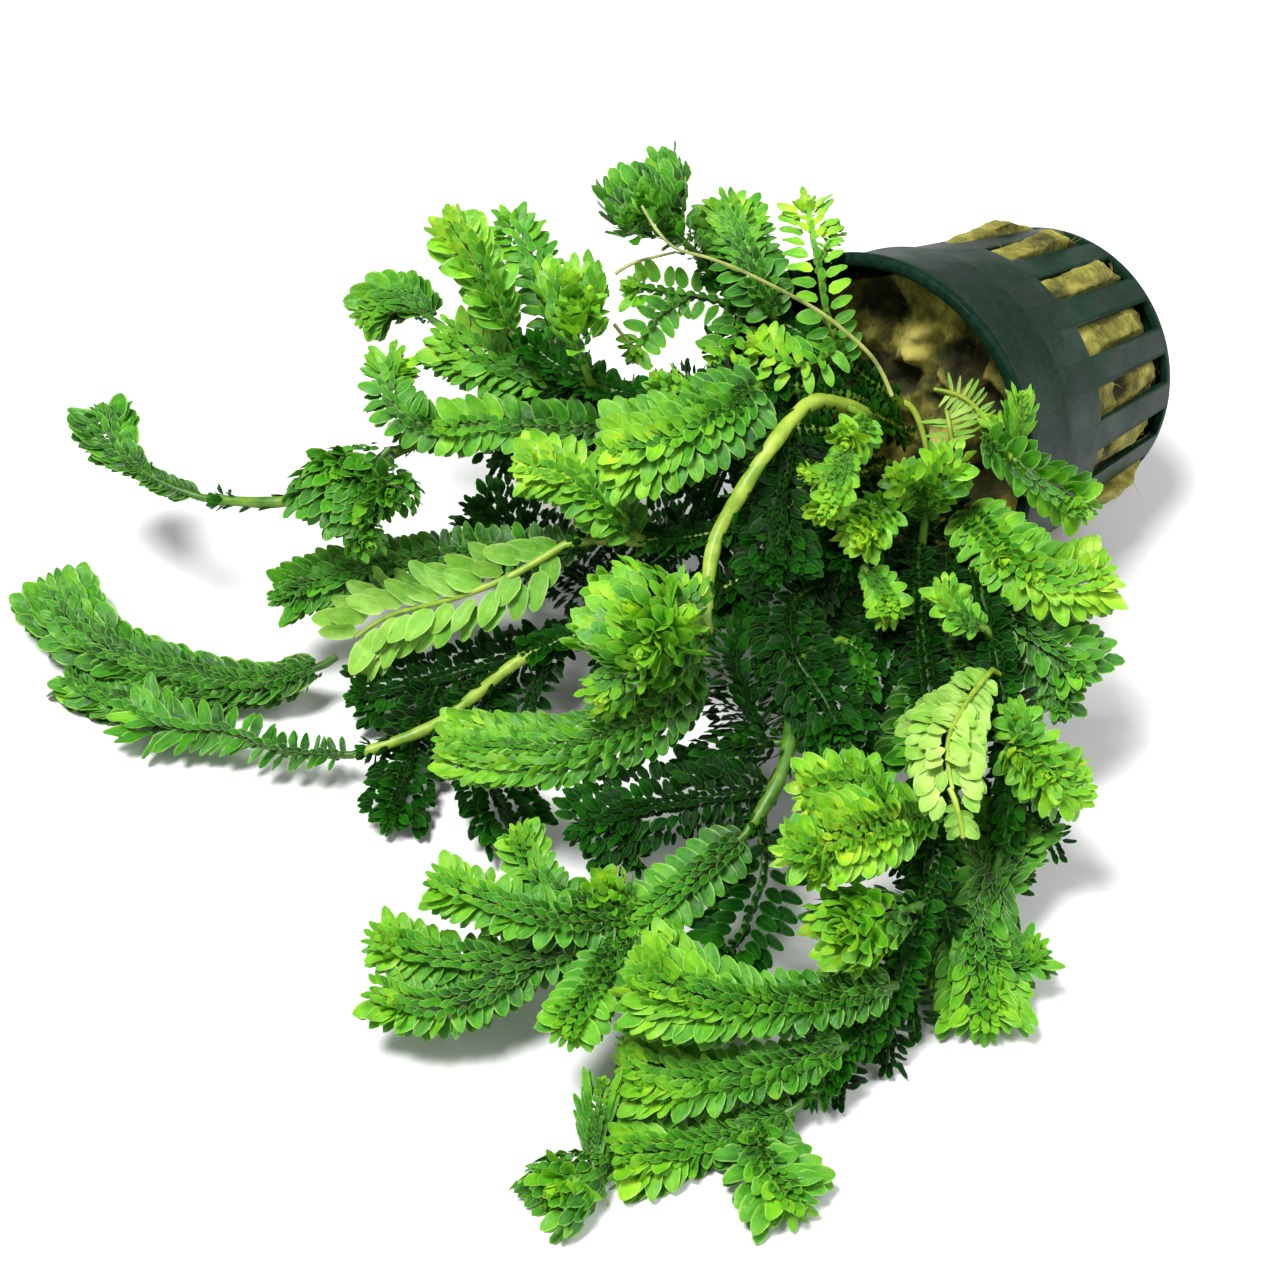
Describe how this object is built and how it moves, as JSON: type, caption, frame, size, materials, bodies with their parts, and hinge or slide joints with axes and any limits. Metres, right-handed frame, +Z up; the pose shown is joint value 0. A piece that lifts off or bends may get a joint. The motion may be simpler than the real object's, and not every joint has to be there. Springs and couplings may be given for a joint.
{
  "type": "potted spikemoss",
  "caption": "Spikemoss plant growing from a mineral wool plug in a slotted net pot that lies on its side, with leafy braided shoots spilling from the mouth.",
  "frame": {"origin": "on the table, under the middle of the object's bounding box", "axes": "+Z up from the table; +X to the right as the picture shows it, along the longest extent; +Y away from the viewer"},
  "size_m": [0.1779, 0.164, 0.0752],
  "materials": {
    "pot_plastic": "matte, slightly glossy on the lip",
    "mineral_wool": "fibrous, matte, damp",
    "stem": "smooth living stem",
    "aerial_root": "thin living root",
    "leaf": "living leaf, slight gloss",
    "leaf_tip": "young bright leaf, slight gloss",
    "leaf_shade": "shaded old leaf, slight gloss",
    "leaf_pale": "pale underside of leaves"
  },
  "bodies": {
    "root": {"net_pot": "pot_plastic", "rockwool": "mineral_wool", "stem_upper": "stem", "stem_upper_left": "stem", "stem_long_left": "stem", "stem_thick_pale": "stem", "stem_left": "stem", "stem_lower_left": "stem", "stem_middle": "stem", "stem_front": "stem", "stem_right": "stem", "aerial_root_long": "aerial_root", "shoot_top_club": "leaf", "shoot_top_branch": "leaf", "shoot_top_inner": "leaf", "shoot_top_slender": "leaf_tip", "shoot_round_club": "leaf", "shoot_tall_braid": "leaf_tip", "shoot_arching": "leaf_shade", "shoot_broad_fan": "leaf", "shoot_slender_lobes": "leaf", "shoot_curled": "leaf", "shoot_wide_leafed": "leaf", "shoot_middle_broad": "leaf", "shoot_left_ovate": "leaf_tip", "shoot_under_shade": "leaf_shade", "shoot_lower_shade": "leaf_shade", "shoot_left_club": "leaf", "shoot_far_flag": "leaf_tip", "shoot_left_dark": "leaf_shade", "shoot_pale_underside": "leaf_pale", "shoot_long_sweep": "leaf", "shoot_lower_sweep": "leaf", "shoot_ridged_finger": "leaf_tip", "shoot_big_club": "leaf", "shoot_hanging_dark": "leaf_shade", "shoot_leafy_end": "leaf", "shoot_twin_tips": "leaf", "shoot_shaded_buds": "leaf_shade", "shoot_low_shade": "leaf_shade", "shoot_front_head": "leaf", "shoot_front_second": "leaf", "shoot_front_third": "leaf", "shoot_bright_cluster": "leaf_tip", "shoot_bright_club": "leaf", "shoot_pale_fan": "leaf_pale", "shoot_right_head": "leaf_tip", "shoot_right_dark": "leaf_shade", "shoot_right_long": "leaf", "shoot_rim_bright": "leaf_tip", "shoot_rim_twin": "leaf_tip", "shoot_rim_edge": "leaf", "shoot_mouth_comb": "leaf", "shoot_small_rosette": "leaf_tip", "shoot_ovate_rosette": "leaf_tip", "shoot_mouth_scales": "leaf_tip", "shoot_centre_hanging": "leaf_shade", "shoot_centre_shade": "leaf_shade", "shoot_centre_upper": "leaf_shade", "shoot_bright_fan": "leaf_tip"}
  },
  "joints": []
}
